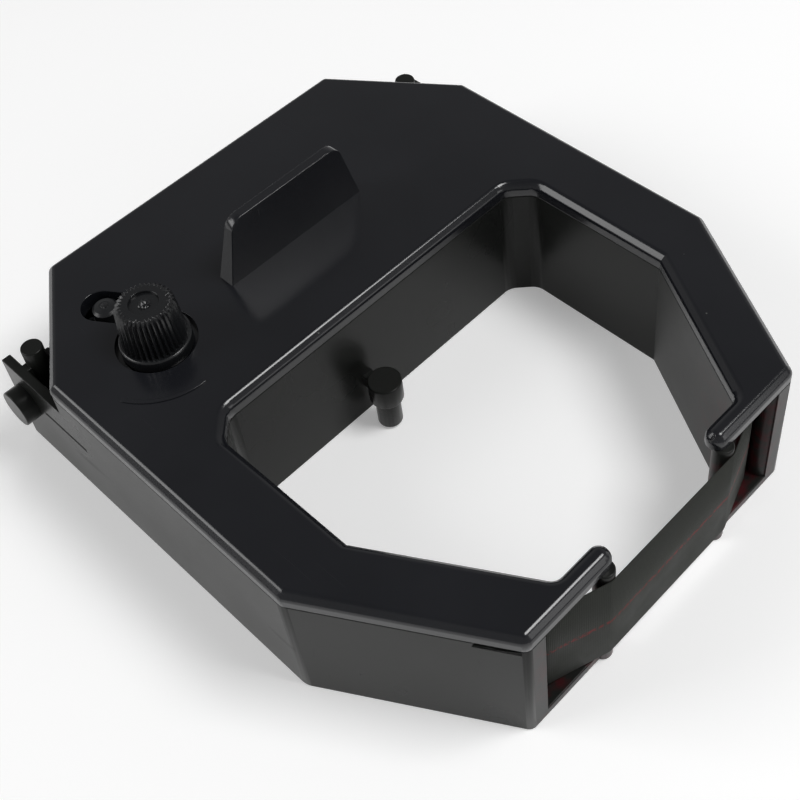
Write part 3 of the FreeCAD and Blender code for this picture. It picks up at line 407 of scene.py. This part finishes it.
def brake_felt():
    """Small block of felt behind the leaf, with rounded edges and a crumpled skin."""
    low, high = (Vector(corner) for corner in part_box("brake_pad"))
    work = bmesh.new()
    bmesh.ops.create_cube(work, size=1.0)
    bmesh.ops.scale(work, vec=high - low, verts=work.verts)
    bmesh.ops.translate(work, vec=(low + high) / 2, verts=work.verts)
    bmesh.ops.bevel(work, geom=work.edges[:], offset=0.25 * MM, offset_type="OFFSET", segments=2,
                    profile=0.5, affect="EDGES", material=-1)
    bmesh.ops.subdivide_edges(work, edges=[e for e in work.edges if e.calc_length() > 0.6 * MM], cuts=5,
                              use_grid_fill=True)
    middle = (low + high) / 2
    for vertex in work.verts:
        crumple = noise.noise(vertex.co / (0.9 * MM)) * 0.05 * MM
        vertex.co = middle + (vertex.co - middle) * 0.985
        vertex.co.x += crumple
    for face in work.faces:
        face.smooth = True
    piece = place_piece("brake_felt", work, felt_finish, "case")
    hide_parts("brake_pad")


def gate_mark(name, axis, level, radius, height, material, body, seed):
    """Torn stub where the moulding was broken off its runner: a low, rough nub."""
    work = bmesh.new()
    bmesh.ops.create_icosphere(work, subdivisions=3, radius=1.0)
    bmesh.ops.bisect_plane(work, geom=work.verts[:] + work.edges[:] + work.faces[:],
                           plane_co=(0, 0, -0.2), plane_no=(0, 0, -1), clear_outer=True)
    bmesh.ops.holes_fill(work, edges=work.edges)
    for vertex in work.verts:
        torn = noise.noise(vertex.co * 2.6 + Vector((seed, seed, seed))) * 0.35
        vertex.co *= 1.0 + torn
    bmesh.ops.scale(work, vec=(radius * MM, radius * MM, height * MM), verts=work.verts)
    bmesh.ops.translate(work, vec=Vector((axis[0], axis[1], level)) * MM, verts=work.verts)
    place_piece(name, work, material, body)


softened("moulded_tray", "case_tray", tray_plastic, "case", 0.16, 0.16)
softened("moulded_cover", "case_cover", cover_plastic, "case", 0.28, 0.08)
softened("moulded_knob", "feed_knob", knob_plastic, "feed", 0.05, 0.05, 28)
endless_ribbon()
brake_felt()
gate_mark("knob_gate", FEED_AXIS, KNOB_TOP - 0.3, 0.62, 0.36,
          knob_plastic, "feed", 3.0)
gate_mark("button_gate", BUTTON_AXIS, CASE_TOP - 0.03, 0.42, 0.16,
          button_plastic, "lever", 7.0)

for name, finish in {
    "feed_roller": roller_plastic,
    "idler_roller": roller_plastic,
    "idler_lever": roller_plastic,
    "guide_roller_left": roller_plastic,
    "guide_roller_right": roller_plastic,
    "idler_axle": button_plastic,
    "idler_spring": wire_finish,
    "tension_leaf": strip_finish,
}.items():
    NODES[name].material_slots[0].material = finish


# ---------------------------------------------------------------- floor, light and camera

def studio_floor():
    """Round sheet of white paper under the part, which keeps the part's shadow."""
    work = bmesh.new()
    bmesh.ops.create_circle(work, cap_ends=True, segments=64, radius=0.6)
    mesh = bpy.data.meshes.new("floor")
    work.to_mesh(mesh)
    work.free()
    material, shader = new_material("matt_white_paper", 1.5, 0.9)
    shader.inputs["Base Color"].default_value = srgb("f0f0f0")
    shader.inputs["Specular IOR Level"].default_value = 0.0
    shader.inputs["Emission Color"].default_value = srgb("ffffff")
    rays = node(material, "ShaderNodeLightPath").outputs
    seen = join(material, "MAXIMUM", rays["Is Camera Ray"], rays["Is Glossy Ray"])
    seen = join(material, "MAXIMUM", seen, rays["Is Transmission Ray"])
    # The lamps fade towards the sheet's rim, so there it shows more of its own white.
    place = node(material, "ShaderNodeTexCoord").outputs["Object"]
    out = node(material, "ShaderNodeVectorMath", {"operation": "LENGTH"}, {0: place}).outputs["Value"]
    glow = ramp(material, out, 0.15, 0.5, 0.28, 0.8)
    connect(material, shader, Emission_Strength=join(material, "MULTIPLY", glow, seen))
    mesh.materials.append(material)
    floor = bpy.data.objects.new("floor", mesh)
    bpy.context.scene.collection.objects.link(floor)


def sky():
    """Dim room around the part, darker overhead. The camera sees it white all over."""
    world = bpy.data.worlds.new("studio")
    bpy.context.scene.world = world
    world.use_nodes = True
    backdrop = world.node_tree.nodes["Background"]
    backdrop.inputs["Color"].default_value = srgb("ffffff")
    way = node(world, "ShaderNodeTexCoord").outputs["Generated"]
    up = node(world, "ShaderNodeSeparateXYZ", links={"Vector": way}).outputs["Z"]
    seen = node(world, "ShaderNodeLightPath").outputs["Is Camera Ray"]
    room = ramp(world, up, 0.5, 0.9, 0.3, 0.12)
    connect(world, backdrop, Strength=join(world, "MAXIMUM", room, seen))


def lamp(name, place, aim, width, height, watts):
    """Soft box at a place, turned to a point, sizes in millimetres."""
    data = bpy.data.lights.new(name, "AREA")
    data.shape = "RECTANGLE"
    data.size, data.size_y = width * MM, height * MM
    data.energy = watts
    box = bpy.data.objects.new(name, data)
    bpy.context.scene.collection.objects.link(box)
    turn = ((Vector(place) - Vector(aim)) * MM).to_track_quat("Z", "Y").to_matrix()
    box.matrix_world = Matrix.Translation(Vector(place) * MM) @ turn.to_4x4()


def camera():
    """Camera at the photograph's angle: right, up and back of the view as the columns of its turn."""
    data = bpy.data.cameras.new("camera")
    data.lens, data.sensor_width = 61.5, 36.0
    data.shift_x, data.shift_y = -0.0379, -0.1476
    data.clip_start, data.clip_end = 0.01, 10.0
    eye = bpy.data.objects.new("camera", data)
    bpy.context.scene.collection.objects.link(eye)
    turn = Matrix(((0.69582, 0.56822, -0.43927),
                   (-0.71365, 0.47811, -0.51197),
                   (-0.08090, 0.66973, 0.73819)))
    eye.matrix_world = Matrix.Translation(Vector((-57.94, -72.17, 122.25)) * MM) @ turn.to_4x4()
    bpy.context.scene.camera = eye


studio_floor()
sky()
lamp("key_box", (120, -170, 380), (0, 0, 10), 160, 160, 0.95)
lamp("fill_box", (-330, 260, 280), (0, 0, 10), 260, 260, 0.8)
lamp("front_box", (190, -430, 200), (0, 0, 10), 180, 120, 0.12)
camera()
bpy.context.scene.view_settings.view_transform = "Standard"
